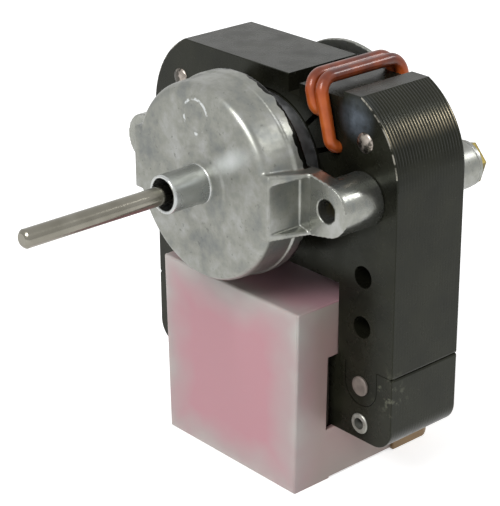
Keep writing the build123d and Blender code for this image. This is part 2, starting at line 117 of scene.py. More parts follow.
varnish = {"thick": "#0f0f0b", "thin": "#1f1f17", "dust": "#4c4c41", "bare": "#a9a59a",
           "ridge": "#7a7260", "scuff": "#5a5b4e", "paintedReflection": "#6a737e",
           "arcCentre": (14.65, 2.85), "arcRadius": 15.45, "front": 8.45, "sheet": 0.65,  # mm
           "scuffAt": (29.2, 8.4, -33.0), "paintedReflectionAt": (20.9, 8.4, 12.9),
           "paintedReflectionLevel": 1.1, "paintedReflectionReach": 4.6,  # painted highlight, 0 removes it
           "highlightBandHeight": 11.5, "highlightBandReach": 2.3}  # band of painted highlight in which the ridges are coloured bright


def makeVarnishedSteel(v):
    # stamped electrical steel dipped in black baking varnish: almost black, olive in the light, wet shine
    material, tree, shader, place = newMaterial("bakedVarnishOnStampedSteel",
                                                {"IOR": 1.5, "Specular IOR Level": 0.18,
                                                 "Specular Tint": (0.93, 1.0, 0.82, 1.0)})
    blotch = addNode(tree, "TexNoise", inputs={"Scale": perMm(7), "Detail": 3}, links={"Vector": place})
    tone = addNode(tree, "ValToRGB", links={"Fac": blotch}, ramp=[(0.3, v["thick"]), (0.7, v["thin"])])
    fine = addNode(tree, "TexNoise", inputs={"Scale": perMm(0.8), "Detail": 2, "Roughness": 0.7},
                   links={"Vector": place})
    dust = addNode(tree, "ValToRGB", links={"Fac": fine}, ramp=[(0.72, 0.0), (0.8, 0.8)])
    dusty = addNode(tree, "Mix", {"data_type": "RGBA"}, {7: hexColor(v["dust"])}, {0: dust, 6: tone})
    # the round shoulders are rubbed: bright steel along the first sheet's edge. The ridges of the other
    # sheets are coloured only in the band where the photograph has its highlight, so part of it is painted
    mirrored = addNode(tree, "VectorMath", {"operation": "ABSOLUTE"}, links={0: place})
    fromArc = addNode(tree, "VectorMath", {"operation": "MULTIPLY_ADD"},
                      {1: (1, 0, 1), 2: (-v["arcCentre"][0] * mm, 0, -v["arcCentre"][1] * mm)},
                      {0: mirrored})
    reach = addNode(tree, "VectorMath", {"operation": "LENGTH"}, links={0: fromArc}).outputs["Value"]
    onArc = addNode(tree, "Math", {"operation": "COMPARE"}, {1: v["arcRadius"] * mm, 2: 0.16 * mm}, {0: reach})
    axes = addNode(tree, "SeparateXYZ", links={0: place})
    outward = addNode(tree, "SeparateXYZ", links={0: mirrored})
    aside = addNode(tree, "Math", {"operation": "GREATER_THAN"}, {1: 21.7 * mm}, {0: outward.outputs["X"]})
    raised = addNode(tree, "Math", {"operation": "GREATER_THAN"}, {1: 5.0 * mm}, {0: axes.outputs["Z"]})
    corner = addNode(tree, "Math", {"operation": "MULTIPLY"}, links={0: aside, 1: raised})
    shoulder = addNode(tree, "Math", {"operation": "MULTIPLY"}, links={0: onArc, 1: corner})
    atFront = addNode(tree, "Math", {"operation": "COMPARE"}, {1: (v["front"] + 0.03) * mm, 2: 0.12 * mm},
                      {0: axes.outputs["Y"]})
    edge = addNode(tree, "Math", {"operation": "MULTIPLY"}, links={0: shoulder, 1: atFront})
    chips = addNode(tree, "TexNoise", inputs={"Scale": perMm(1.4), "Detail": 3}, links={"Vector": place})
    broken = addNode(tree, "ValToRGB", links={"Fac": chips}, ramp=[(0.44, 0.0), (0.56, 0.7)])
    rubbed = addNode(tree, "Math", {"operation": "MULTIPLY"}, links={0: edge, 1: broken})
    counted = addNode(tree, "Math", {"operation": "MULTIPLY_ADD"},
                      {1: 1 / (v["sheet"] * mm), 2: -v["front"] / v["sheet"]}, {0: axes.outputs["Y"]})
    within = addNode(tree, "Math", {"operation": "FRACT"}, links={0: counted})
    crest = addNode(tree, "Math", {"operation": "COMPARE"}, {1: 0.5, 2: 0.2}, {0: within})
    wearAndPaintedHighlight = addNode(tree, "ValToRGB", links={"Fac": blotch}, ramp=[(0.3, 0.35), (0.65, 1.0)])
    crests = addNode(tree, "Math", {"operation": "MULTIPLY"}, links={0: crest, 1: wearAndPaintedHighlight})
    # the rubbed crests are coloured only inside a band across each shoulder: there they are a painted highlight
    height = addNode(tree, "Math", {"operation": "SUBTRACT"}, {1: v["highlightBandHeight"] * mm},
                     {0: axes.outputs["Z"]})
    offBand = addNode(tree, "Math", {"operation": "ABSOLUTE"}, links={0: height})
    band = addNode(tree, "MapRange", {"interpolation_type": "SMOOTHSTEP"},
                   {"From Min": v["highlightBandReach"] * mm, "From Max": 0.4 * mm}, {"Value": offBand})
    onPaintedHighlightBand = addNode(tree, "Math", {"operation": "MULTIPLY"}, links={0: band, 1: shoulder})
    ridges = addNode(tree, "Math", {"operation": "MULTIPLY"}, links={0: crests, 1: onPaintedHighlightBand})
    withRubbedRidgesAndHighlight = addNode(tree, "Mix", {"data_type": "RGBA"}, {7: hexColor(v["ridge"])},
                     {0: ridges, 6: dusty.outputs[2]})
    tree.links.new(ridges.outputs[0], shader.inputs["Metallic"])
    # chipped varnish where the leg meets the core bar
    away = addNode(tree, "VectorMath", {"operation": "DISTANCE"}, {1: Vector(v["scuffAt"]) * mm},
                   {0: place}).outputs["Value"]
    near = addNode(tree, "MapRange", inputs={"From Min": 5.0 * mm, "From Max": 1.2 * mm}, links={"Value": away})
    flakes = addNode(tree, "TexNoise", inputs={"Scale": perMm(1.3), "Detail": 4, "Roughness": 0.65},
                     links={"Vector": place})
    flaked = addNode(tree, "ValToRGB", links={"Fac": flakes}, ramp=[(0.55, 0.0), (0.64, 0.85)])
    chipped = addNode(tree, "Math", {"operation": "MULTIPLY"}, links={0: near, 1: flaked})
    scuffed = addNode(tree, "Mix", {"data_type": "RGBA"}, {7: hexColor(v["scuff"])},
                      {0: chipped, 6: withRubbedRidgesAndHighlight.outputs[2]})
    # a bluish reflection on the stack's front, painted here because the lamps don't give it
    fromPaintedReflection = addNode(tree, "VectorMath", {"operation": "DISTANCE"}, {1: Vector(v["paintedReflectionAt"]) * mm},
                        {0: place}).outputs["Value"]
    halo = addNode(tree, "MapRange", {"interpolation_type": "SMOOTHSTEP"},
                   {"From Min": v["paintedReflectionReach"] * mm, "From Max": 0.0}, {"Value": fromPaintedReflection})
    # the chips noise also mottles this painted reflection
    cloudy = addNode(tree, "Math", {"operation": "MULTIPLY"}, {1: v["paintedReflectionLevel"]}, {0: chips})
    paintedReflectionMask = addNode(tree, "Math", {"operation": "MULTIPLY", "use_clamp": True}, links={0: halo, 1: cloudy})
    withPaintedReflection = addNode(tree, "Mix", {"data_type": "RGBA"}, {7: hexColor(v["paintedReflection"])},
                      {0: paintedReflectionMask, 6: scuffed.outputs[2]})
    shown = addNode(tree, "Mix", {"data_type": "RGBA"}, {7: hexColor(v["bare"])},
                    {0: rubbed, 6: withPaintedReflection.outputs[2]})
    tree.links.new(shown.outputs[2], shader.inputs["Base Color"])
    wet = addNode(tree, "TexNoise", inputs={"Scale": perMm(4), "Detail": 3}, links={"Vector": place})
    sheen = addNode(tree, "ValToRGB", links={"Fac": wet}, ramp=[(0.3, 0.2), (0.75, 0.36)])
    tree.links.new(sheen.outputs[0], shader.inputs["Roughness"])
    peel = addNode(tree, "TexNoise", inputs={"Scale": perMm(1.3), "Detail": 2}, links={"Vector": place})
    bump = addNode(tree, "Bump", inputs={"Strength": 0.35, "Distance": 0.03 * mm}, links={"Height": peel})
    tree.links.new(bump.outputs[0], shader.inputs["Normal"])
    return material


zincSkin = {"dark": "#787b79", "middle": "#8b8c85", "pale": "#9b9c99", "speck": "#62645f", "bright": "#dfe3e4",
            "dullFace": 0.16, "brightPost": -0.1,  # roughness added on the flat face and on posts and boss
            "face": -6.8, "bossFrom": -7.08, "postFrom": 19.2,  # mm along y, y and x
            "markAt": (-0.5, -6.8, 11.4), "markRadius": 2.96, "markWidth": 0.24,
            "streakAt": (8.2, -6.8, 6.1), "streakTurn": -0.477, "streakLength": 3.0, "streakReach": 2.6,
            "bossHighlightLevel": 0.38, "streakHighlightLevel": 0.45,  # painted highlights, 0 removes them
            "creep": 3.6, "creepFrom": 3.1, "creepEnd": 2.5, "rimRadius": 17.0}  # mm, varnish over the rim


def makeDieCastZinc(z):
    # pressure die-cast zinc: cold grey, cloudy flow marks and dark pits, dull where the die wasn't polished
    material, tree, shader, place = newMaterial("dieCastZincAsCast", {"Metallic": 0.9})
    cloud = addNode(tree, "TexNoise", inputs={"Scale": perMm(4.5), "Detail": 5, "Roughness": 0.62},
                    links={"Vector": place})
    tone = addNode(tree, "ValToRGB", links={"Fac": cloud},
                   ramp=[(0.32, z["dark"]), (0.5, z["middle"]), (0.68, z["pale"])])
    fine = addNode(tree, "TexNoise", inputs={"Scale": perMm(0.8), "Detail": 3}, links={"Vector": place})
    pits = addNode(tree, "ValToRGB", links={"Fac": fine}, ramp=[(0.27, 0.6), (0.35, 0.0)])
    pitted = addNode(tree, "Mix", {"data_type": "RGBA"}, {7: hexColor(z["speck"])}, {0: pits, 6: tone})
    # a painted highlight along the boss and a painted highlight streak beside it, standing in for light that
    # the bell keeps from the lamps. Chips of bare metal show on the ring left by the die
    axes = addNode(tree, "SeparateXYZ", links={0: place})
    ahead = addNode(tree, "Math", {"operation": "LESS_THAN"}, {1: z["bossFrom"] * mm}, {0: axes.outputs["Y"]})
    paintedBossHighlight = addNode(tree, "Math", {"operation": "MULTIPLY"}, {1: z["bossHighlightLevel"]}, {0: ahead})
    stretched = addNode(tree, "Mapping", {"vector_type": "TEXTURE"},
                        {"Location": Vector(z["streakAt"]) * mm, "Rotation": (0, z["streakTurn"], 0),
                         "Scale": (z["streakLength"], 1.0, 1.0)}, {"Vector": place})
    fromStreak = addNode(tree, "VectorMath", {"operation": "LENGTH"}, links={0: stretched}).outputs["Value"]
    streak = addNode(tree, "MapRange", {"interpolation_type": "SMOOTHSTEP"},
                     {"From Min": z["streakReach"] * mm, "From Max": 0.0, "To Max": z["streakHighlightLevel"]},
                     {"Value": fromStreak})
    fromMark = addNode(tree, "VectorMath", {"operation": "DISTANCE"},
                       {1: Vector(z["markAt"]) * mm}, {0: place}).outputs["Value"]
    onMark = addNode(tree, "Math", {"operation": "COMPARE"}, {1: z["markRadius"] * mm, 2: z["markWidth"] * mm},
                     {0: fromMark})
    flecks = addNode(tree, "TexNoise", inputs={"Scale": perMm(1.1), "Detail": 2}, links={"Vector": place})
    bare = addNode(tree, "ValToRGB", links={"Fac": flecks}, ramp=[(0.5, 0.0), (0.58, 0.6)])
    chips = addNode(tree, "Math", {"operation": "MULTIPLY"}, links={0: onMark, 1: bare})
    wearAndPaintedHighlight = addNode(tree, "Math", {"operation": "MAXIMUM"}, links={0: paintedBossHighlight, 1: streak})
    shine = addNode(tree, "Math", {"operation": "MAXIMUM"}, links={0: wearAndPaintedHighlight, 1: chips})
    withHighlightsAndChips = addNode(tree, "Mix", {"data_type": "RGBA"}, {7: hexColor(z["bright"])},
                        {0: shine, 6: pitted.outputs[2]})
    # black dip varnish that crept over the rim of the front cup and stopped at a ragged edge
    ragged = addNode(tree, "TexNoise", inputs={"Scale": perMm(3.2), "Detail": 2},
                     links={"Vector": place})
    crept = addNode(tree, "Math", {"operation": "MULTIPLY_ADD"}, {1: z["creep"] * mm},
                    {0: ragged, 2: axes.outputs["Y"]})
    beyond = addNode(tree, "Math", {"operation": "GREATER_THAN"}, {1: z["creepFrom"] * mm}, {0: crept})
    before = addNode(tree, "Math", {"operation": "LESS_THAN"}, {1: z["creepEnd"] * mm},
                     {0: axes.outputs["Y"]})
    across = addNode(tree, "VectorMath", {"operation": "MULTIPLY"}, {1: (1, 0, 1)}, {0: place})
    reach = addNode(tree, "VectorMath", {"operation": "LENGTH"}, links={0: across}).outputs["Value"]
    onRim = addNode(tree, "Math", {"operation": "COMPARE"}, {1: z["rimRadius"] * mm, 2: 0.7 * mm}, {0: reach})
    within = addNode(tree, "Math", {"operation": "MULTIPLY"}, links={0: beyond, 1: before})
    black = addNode(tree, "Math", {"operation": "MULTIPLY"}, links={0: within, 1: onRim})
    shown = addNode(tree, "Mix", {"data_type": "RGBA"}, {7: hexColor(varnish["thick"])},
                    {0: black, 6: withHighlightsAndChips.outputs[2]})
    tree.links.new(shown.outputs[2], shader.inputs["Base Color"])
    skin = addNode(tree, "ValToRGB", links={"Fac": cloud}, ramp=[(0.3, 0.42), (0.7, 0.28)])
    sideways = addNode(tree, "Math", {"operation": "ABSOLUTE"}, links={0: axes.outputs["X"]})
    onPost = addNode(tree, "Math", {"operation": "GREATER_THAN"}, {1: z["postFrom"] * mm}, {0: sideways})
    polished = addNode(tree, "Math", {"operation": "MAXIMUM"}, links={0: onPost, 1: ahead})
    posted = addNode(tree, "Math", {"operation": "MULTIPLY_ADD"}, {1: z["brightPost"]}, {0: polished, 2: skin})
    onFace = addNode(tree, "Math", {"operation": "COMPARE"}, {1: z["face"] * mm, 2: 0.25 * mm},
                     {0: axes.outputs["Y"]})
    rough = addNode(tree, "Math", {"operation": "MULTIPLY_ADD"}, {1: z["dullFace"]}, {0: onFace, 2: posted})
    tree.links.new(rough.outputs[0], shader.inputs["Roughness"])
    dents = addNode(tree, "TexNoise", inputs={"Scale": perMm(1.6), "Detail": 5, "Roughness": 0.6},
                    links={"Vector": place})
    bump = addNode(tree, "Bump", inputs={"Strength": 0.4, "Distance": 0.05 * mm}, links={"Height": dents})
    tree.links.new(bump.outputs[0], shader.inputs["Normal"])
    return material


coverSkin = {"edge": "#b2afaa", "between": "#ad9999", "middle": "#b6848c", "lid": "#a8838a",
             "side": "#9d8f86", "halfWidth": 16.2}  # mm


def makeNaturalNylon(c, low, high):
    # natural nylon, injection moulded: milky at the edges where light gets in, and pink in the middle of
    # each side, where the red tape of the coil shows through
    material, tree, shader, place = newMaterial("naturalNylonMoulded",
                                                {"Roughness": 0.38, "IOR": 1.53, "Subsurface Weight": 0.15,
                                                 "Subsurface Scale": 1.5 * mm})
    shader.inputs["Subsurface Radius"].default_value = (1.0, 0.6, 0.5)
    middle, half = (low + high) / 2, (high - low) / 2
    fromMiddle = addNode(tree, "VectorMath", {"operation": "SUBTRACT"}, {1: middle}, {0: place})
    folded = addNode(tree, "VectorMath", {"operation": "ABSOLUTE"}, links={0: fromMiddle})
    depth = addNode(tree, "VectorMath", {"operation": "SUBTRACT"}, {0: half}, {1: folded})
    axes = addNode(tree, "SeparateXYZ", links={0: depth})
    # the middle one of the three depths is how far in from the nearest edge a point lies
    lower = addNode(tree, "Math", {"operation": "MINIMUM"}, links={0: axes.outputs["X"], 1: axes.outputs["Y"]})
    higher = addNode(tree, "Math", {"operation": "MAXIMUM"}, links={0: axes.outputs["X"], 1: axes.outputs["Y"]})
    capped = addNode(tree, "Math", {"operation": "MINIMUM"}, links={0: higher, 1: axes.outputs["Z"]})
    inward = addNode(tree, "Math", {"operation": "MAXIMUM"}, links={0: lower, 1: capped})
    cloud = addNode(tree, "TexNoise", inputs={"Scale": perMm(9), "Detail": 2}, links={"Vector": place})
    uneven = addNode(tree, "Math", {"operation": "MULTIPLY_ADD"}, {1: 9.0 * mm}, {0: cloud, 2: inward})
    spread = addNode(tree, "MapRange", inputs={"From Min": 3.0 * mm, "From Max": 12.0 * mm},
                     links={"Value": uneven})
    tone = addNode(tree, "ValToRGB", links={"Fac": spread},
                   ramp=[(0.0, c["edge"]), (0.4, c["between"]), (1.0, c["middle"])])
    # painted shade: the sides of the cover are coloured darker and greyer than the front
    own = addNode(tree, "SeparateXYZ", links={0: place})
    turned = addNode(tree, "SeparateXYZ", links={0: folded})
    flank = addNode(tree, "MapRange", inputs={"From Min": (c["halfWidth"] - 0.1) * mm,
                                              "From Max": c["halfWidth"] * mm, "To Max": 0.7},
                    links={"Value": turned.outputs["X"]})
    behind = addNode(tree, "MapRange", inputs={"From Min": -0.5 * mm, "From Max": 5.0 * mm},
                     links={"Value": own.outputs["Y"]})
    paintedSideShade = addNode(tree, "Math", {"operation": "MULTIPLY"}, links={0: flank, 1: behind})
    withPaintedSideShade = addNode(tree, "Mix", {"data_type": "RGBA"}, {7: hexColor(c["side"])}, {0: paintedSideShade, 6: tone})
    # the lid is darker towards the bell: partly painted shade from the bell above, partly the tape lying close
    # under it
    lid = addNode(tree, "Math", {"operation": "GREATER_THAN"}, {1: high[2] - 0.3 * mm},
                  {0: own.outputs["Z"]})
    paintedLidShade = addNode(tree, "Math", {"operation": "MULTIPLY"}, links={0: lid, 1: behind})
    shown = addNode(tree, "Mix", {"data_type": "RGBA"}, {7: hexColor(c["lid"])},
                    {0: paintedLidShade, 6: withPaintedSideShade.outputs[2]})
    tree.links.new(shown.outputs[2], shader.inputs["Base Color"])
    peel = addNode(tree, "TexNoise", inputs={"Scale": perMm(3), "Detail": 2}, links={"Vector": place})
    bump = addNode(tree, "Bump", inputs={"Strength": 0.3, "Distance": 0.04 * mm}, links={"Height": peel})
    tree.links.new(bump.outputs[0], shader.inputs["Normal"])
    return material


def makeTanNylon():
    # the same nylon where brown enamelled wire lies behind it: tan, browner towards the top
    material, tree, shader, place = newMaterial("brownNylonMoulded", {"Roughness": 0.42, "IOR": 1.53})
    cloud = addNode(tree, "TexNoise", inputs={"Scale": perMm(6), "Detail": 3}, links={"Vector": place})
    rise = addNode(tree, "SeparateXYZ", links={0: place})
    height = addNode(tree, "MapRange", inputs={"From Min": -54 * mm, "From Max": -40 * mm, "To Max": 0.6},
                     links={"Value": rise.outputs["Z"]})
    mottled = addNode(tree, "Math", {"operation": "MULTIPLY_ADD"}, {1: 0.5}, {0: cloud, 2: height})
    tone = addNode(tree, "ValToRGB", links={"Fac": mottled},
                   ramp=[(0.15, "#9a7d54"), (0.5, "#866841"), (0.9, "#5e4a2f")])
    tree.links.new(tone.outputs[0], shader.inputs["Base Color"])
    return material


def makeVarnishedCopper():
    # bare copper loops dipped with the frame: orange brown under thick varnish, darker maroon towards the top
    material, tree, shader, place = newMaterial("varnishedCopperWire",
                                                {"Metallic": 0.1, "Roughness": 0.36, "Coat Weight": 0.35,
                                                 "Coat Roughness": 0.08, "Specular IOR Level": 0.3})
    cloud = addNode(tree, "TexNoise", inputs={"Scale": perMm(3), "Detail": 3}, links={"Vector": place})
    rise = addNode(tree, "SeparateXYZ", links={0: place})
    height = addNode(tree, "MapRange", inputs={"From Min": 14.0 * mm, "From Max": 19.5 * mm, "To Max": 0.5},
                     links={"Value": rise.outputs["Z"]})
    mottled = addNode(tree, "Math", {"operation": "MULTIPLY_ADD"}, {1: 0.6}, {0: cloud, 2: height})
    tone = addNode(tree, "ValToRGB", links={"Fac": mottled},
                   ramp=[(0.2, "#c4652b"), (0.45, "#9f4719"), (0.8, "#501b0c")])
    tree.links.new(tone.outputs[0], shader.inputs["Base Color"])
    drips = addNode(tree, "TexNoise", inputs={"Scale": perMm(1.5), "Detail": 2}, links={"Vector": place})
    bump = addNode(tree, "Bump", inputs={"Strength": 0.3, "Distance": 0.06 * mm}, links={"Height": drips})
    tree.links.new(bump.outputs[0], shader.inputs["Normal"])
    return material


def makeGroundSteel():
    # centreless ground carbon steel: bright, with fine rings round the shaft, drawn coarser than they are
    material, tree, shader, place = newMaterial("groundCarbonSteel", {"Metallic": 1.0})
    along = addNode(tree, "Mapping", inputs={"Scale": (0.1, 1.0, 0.1)}, links={"Vector": place})
    rings = addNode(tree, "TexNoise", inputs={"Scale": perMm(0.35), "Detail": 2}, links={"Vector": along})
    cloud = addNode(tree, "TexNoise", inputs={"Scale": perMm(5), "Detail": 2}, links={"Vector": place})
    tone = addNode(tree, "ValToRGB", links={"Fac": cloud}, ramp=[(0.3, "#77746a"), (0.7, "#8b887e")])
    tree.links.new(tone.outputs[0], shader.inputs["Base Color"])
    sheen = addNode(tree, "ValToRGB", links={"Fac": rings}, ramp=[(0.3, 0.14), (0.7, 0.2)])
    tree.links.new(sheen.outputs[0], shader.inputs["Roughness"])
    bump = addNode(tree, "Bump", inputs={"Strength": 0.05, "Distance": 0.01 * mm}, links={"Height": rings})
    tree.links.new(bump.outputs[0], shader.inputs["Normal"])
    return material


def makePlainMaterial(name, tones, metallic, roughness, size, stain=None):
    material, tree, shader, place = newMaterial(name, {"Metallic": metallic})
    cloud = addNode(tree, "TexNoise", inputs={"Scale": perMm(size), "Detail": 3}, links={"Vector": place})
    tone = addNode(tree, "ValToRGB", links={"Fac": cloud}, ramp=[(0.3, tones[0]), (0.7, tones[1])])
    tree.links.new(tone.outputs[0], shader.inputs["Base Color"])
    if stain:  # remains of black varnish
        spots = addNode(tree, "TexNoise", inputs={"Scale": perMm(stain), "Detail": 3, "Roughness": 0.6},
                        links={"Vector": place})
        cover = addNode(tree, "ValToRGB", links={"Fac": spots}, ramp=[(0.48, 0.0), (0.54, 0.85)])
        stained = addNode(tree, "Mix", {"data_type": "RGBA"}, {7: hexColor(varnish["thin"])},
                          {0: cover, 6: tone})
        tree.links.new(stained.outputs[2], shader.inputs["Base Color"])
    sheen = addNode(tree, "ValToRGB", links={"Fac": cloud}, ramp=[(0.3, roughness[0]), (0.7, roughness[1])])
    tree.links.new(sheen.outputs[0], shader.inputs["Roughness"])
    bump = addNode(tree, "Bump", inputs={"Strength": 0.2, "Distance": 0.03 * mm}, links={"Height": cloud})
    tree.links.new(bump.outputs[0], shader.inputs["Normal"])
    return material


steel = makeVarnishedSteel(varnish)
zinc = makeDieCastZinc(zincSkin)
rearZinc = makeDieCastZinc({**zincSkin, "brightPost": 0.04})
coverLow, coverHigh = (Vector(corner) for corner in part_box("coil_cover"))
nylon = makeNaturalNylon(coverSkin, coverLow, coverHigh)
tanNylon = makeTanNylon()
copper = makeVarnishedCopper()
groundSteel = makeGroundSteel()
# small parts: each has the tone, the shine and the grain size of its own metal, felt or plastic
platedSteel = makePlainMaterial("tinnedRivetSteel", ("#857c74", "#b3aaa1"), 0.85, (0.22, 0.35), 1.2, 2.2)
eyeletSteel = makePlainMaterial("tinnedEyeletSteel", ("#7d7d75", "#9f9f98"), 0.7, (0.3, 0.42), 1.0)
stainedSteel = makePlainMaterial("varnishStainedRivetSteel", ("#5f5751", "#7b716a"), 0.4, (0.45, 0.6), 1.2)
yellowZinc = makePlainMaterial("yellowPassivatedSteel", ("#4d4318", "#786a30"), 0.8, (0.3, 0.42), 1.5)
bronze = makePlainMaterial("sinteredBronze", ("#6e5434", "#8a6c46"), 0.8, (0.5, 0.65), 0.4)
felt = makePlainMaterial("woolFelt", ("#8c8474", "#a59c8a"), 0.0, (0.9, 1.0), 0.5)
spring = makePlainMaterial("springSteelStrip", ("#777777", "#8f8f8f"), 1.0, (0.3, 0.4), 1.0)
castAluminium = makePlainMaterial("castAluminium", ("#8e8f91", "#a9aaad"), 1.0, (0.4, 0.55), 1.5)
whiteNylon = makePlainMaterial("whiteNylonTurned", ("#c9c4b6", "#d8d4c8"), 0.0, (0.4, 0.5), 2.0)
redTape = makePlainMaterial("redPolyesterTape", ("#8a2a30", "#a23a40"), 0.0, (0.35, 0.45), 3.0)
bobbinNylon = makePlainMaterial("blackBobbinNylon", ("#2a221b", "#3a2f26"), 0.0, (0.5, 0.6), 2.0)
enamel = makePlainMaterial("enamelledCopperWire", ("#7c3a1e", "#9a5230"), 0.5, (0.25, 0.35), 1.0)
print("materials made:", len(bpy.data.materials))

finishes = {
    "stator_stack": steel, "coil_core_bar": steel, "rotor_core": steel,
    "front_bell": zinc, "rear_bell": rearZinc,
    "coil_cover": nylon, "coil_end_cover": tanNylon, "bobbin": bobbinNylon,
    "shading_coil_upper_inner": copper, "shading_coil_upper_outer": copper,
    "shading_coil_lower_inner": copper, "shading_coil_lower_outer": copper,
    "shaft": groundSteel, "stack_rivets": platedSteel, "bar_eyelets": eyeletSteel,
    "through_screws": yellowZinc, "front_bearing": bronze, "rear_bearing": bronze,
    "front_oil_wick": felt, "rear_oil_wick": felt, "front_bearing_retainer": spring,
    "rear_bearing_retainer": spring, "rotor_cage": castAluminium,
    "front_thrust_washer": whiteNylon, "rear_thrust_washer": whiteNylon,
    "front_sleeve": whiteNylon, "rear_sleeve": whiteNylon,
    "coil_tape": redTape, "coil_winding": enamel,
}
for nodeName, material in finishes.items():
    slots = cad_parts[nodeName].data.materials
    slots.clear()
    slots.append(material)


def addPiece(name, bm, materials, body, nodes=(), creaseAngle=None):
    mesh = bpy.data.meshes.new(name)
    if creaseAngle:
        for face in bm.faces:
            face.smooth = True
    bm.to_mesh(mesh)
    bm.free()
    for material in materials:
        mesh.materials.append(material)
    piece = bpy.data.objects.new(name, mesh)
    bpy.context.scene.collection.objects.link(piece)
    if creaseAngle:
        mesh.set_sharp_from_angle(angle=math.radians(creaseAngle))
        flatFaces = piece.modifiers.new("flatFaces", "WEIGHTED_NORMAL")
        flatFaces.keep_sharp = True
    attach(piece, body)
    if nodes:
        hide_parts(*nodes)
    print(name, "made,", len(mesh.vertices), "points")
    return piece


def copyOfNode(node):
    bm = bmesh.new()
    bm.from_mesh(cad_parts[node].data)
    bmesh.ops.remove_doubles(bm, verts=bm.verts, dist=0.001 * mm)
    bm.normal_update()
    return bm


def turnShape(bm, middle, outline, sides, material=0):
    # spins half an outline, (radius, y) in mm, round an axis along Y through (x, z)
    axis = Vector((middle[0], 0, middle[1])) * mm
    verts = [bm.verts.new(axis + Vector((0, y, radius)) * mm) for radius, y in outline]
    edges = [bm.edges.new(pair) for pair in zip(verts, verts[1:])]
    spun = bmesh.ops.spin(bm, geom=verts + edges, cent=axis, axis=(0, 1, 0), angle=math.tau, steps=sides,
                          use_merge=True, use_duplicate=False)
    faces = {face for item in spun["geom_last"] if isinstance(item, bmesh.types.BMVert)
             for face in item.link_faces}
    grown = set(faces)
    while faces:
        faces = {other for face in faces for edge in face.edges for other in edge.link_faces} - grown
        grown |= faces
    for face in grown:
        face.material_index = material


def closeShapes(bm):
    bmesh.ops.remove_doubles(bm, verts=bm.verts, dist=0.0005 * mm)
    bmesh.ops.recalc_face_normals(bm, faces=bm.faces)


# laminated frame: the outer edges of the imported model's shape are cut into single sheets
sheets = {
    "count": 24,
    "front": 8.45,  # mm
    "length": 15.6,
    "groove": 0.06,  # half width of the groove between two sheets
    "depth": 0.006,
    "shoulderDepth": 0.05,  # deeper on the round shoulders, where the varnish ran off
    "edge": 0.12,  # rolled edge of the first and last sheet
    "jointHeight": -30.1, "halfWidth": 30.15, "jointGap": 0.4,
}


def cutSheets(bm, isOuter, onShoulder, s):
    pitch = s["length"] / s["count"]

    def sideFaces():
        return [f for f in bm.faces if abs(f.normal.y) < 0.1 and isOuter(f.calc_center_median() / mm)]

    # the joint between leg and core bar is an open line of shadow round the outside
    joint = [e for e in bm.edges if all(abs(v.co.z / mm - s["jointHeight"]) < 0.01 for v in e.verts)
             and all(abs(abs(v.co.x / mm) - s["halfWidth"]) < 0.01 for v in e.verts)]
    bmesh.ops.bevel(bm, geom=joint, offset=s["jointGap"] * mm, affect="EDGES", segments=2, profile=0.5,
                    material=-1, clamp_overlap=True)
    bm.normal_update()
    rims = set()
    for face in sideFaces():
        for edge in face.edges:
            if any(abs(other.normal.y) > 0.9 for other in edge.link_faces):
                rims.add(edge)
    bmesh.ops.bevel(bm, geom=list(rims), offset=s["edge"] * mm, affect="EDGES", segments=2, profile=0.5,
                    material=-1, clamp_overlap=True)
    bm.normal_update()
    for index in range(1, s["count"]):
        y = s["front"] + index * pitch
        for shift in (-s["groove"], 0, s["groove"]):
            faces = sideFaces()
            edges = {e for f in faces for e in f.edges}
            verts = {v for f in faces for v in f.verts}
            bmesh.ops.bisect_plane(bm, geom=faces + list(edges) + list(verts), dist=0.0001 * mm,
                                   plane_co=Vector((0, y + shift, 0)) * mm, plane_no=(0, 1, 0))
            bm.normal_update()
    for vert in bm.verts:
        step = (vert.co.y / mm - s["front"]) / pitch
        if abs(step - round(step)) < 0.02 and 0 < round(step) < s["count"]:
            if all(abs(f.normal.y) < 0.5 for f in vert.link_faces):
                depth = s["shoulderDepth"] if onShoulder(vert.co / mm) else s["depth"]
                vert.co -= Vector((vert.normal.x, 0, vert.normal.z)).normalized() * depth * mm


def outerOfStack(p):
    onCorner = abs(p.x) > 16 and p.z > 2.85 and math.hypot(abs(p.x) - 14.65, p.z - 2.85) > 15.2
    return abs(p.x) > 29.9 or p.z > 16.5 or onCorner or p.z < -30 or (abs(p.x) < 17.5 and p.z < -16.6)


def shoulderOfStack(p):
    return 21.7 < abs(p.x) < 29.6 and 6.5 < p.z < 16.6


def outerOfBar(p):
    onCorner = abs(p.x) > 26.1 and p.z < -39.9 and math.hypot(abs(p.x) - 26.15, p.z + 39.9) > 3.8
    return abs(p.x) > 30 or p.z > -30.2 or p.z < -43.8 or onCorner


for nodeName, pieceName, isOuter, onShoulder in (
        ("stator_stack", "laminatedStack", outerOfStack, shoulderOfStack),
        ("coil_core_bar", "laminatedCoreBar", outerOfBar, lambda p: False)):
    bm = copyOfNode(nodeName)
    cutSheets(bm, isOuter, onShoulder, sheets)
    addPiece(pieceName, bm, [steel], "motor_frame", (nodeName,))


# end bells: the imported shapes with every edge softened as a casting's are
casting = {"front_bell": ("frontBellCasting", 0.2, 2), "rear_bell": ("rearBellCasting", 0.25, 3),
           "pull": 0.5, "keep": 0.6}  # grain in mm, smoothing passes; share of the triangles kept
for nodeName in ("front_bell", "rear_bell"):
    pieceName, grain, passes = casting[nodeName]
    piece = addPiece(pieceName, copyOfNode(nodeName), [finishes[nodeName]], "motor_frame", (nodeName,))
    remesh = piece.modifiers.new("castSkin", "REMESH")
    remesh.mode = "VOXEL"
    remesh.voxel_size = grain * mm
    remesh.use_smooth_shade = True
    soften = piece.modifiers.new("softEdges", "SMOOTH")
    soften.factor = casting["pull"]
    soften.iterations = passes
    lighter = piece.modifiers.new("fewerFaces", "DECIMATE")
    lighter.ratio = casting["keep"]


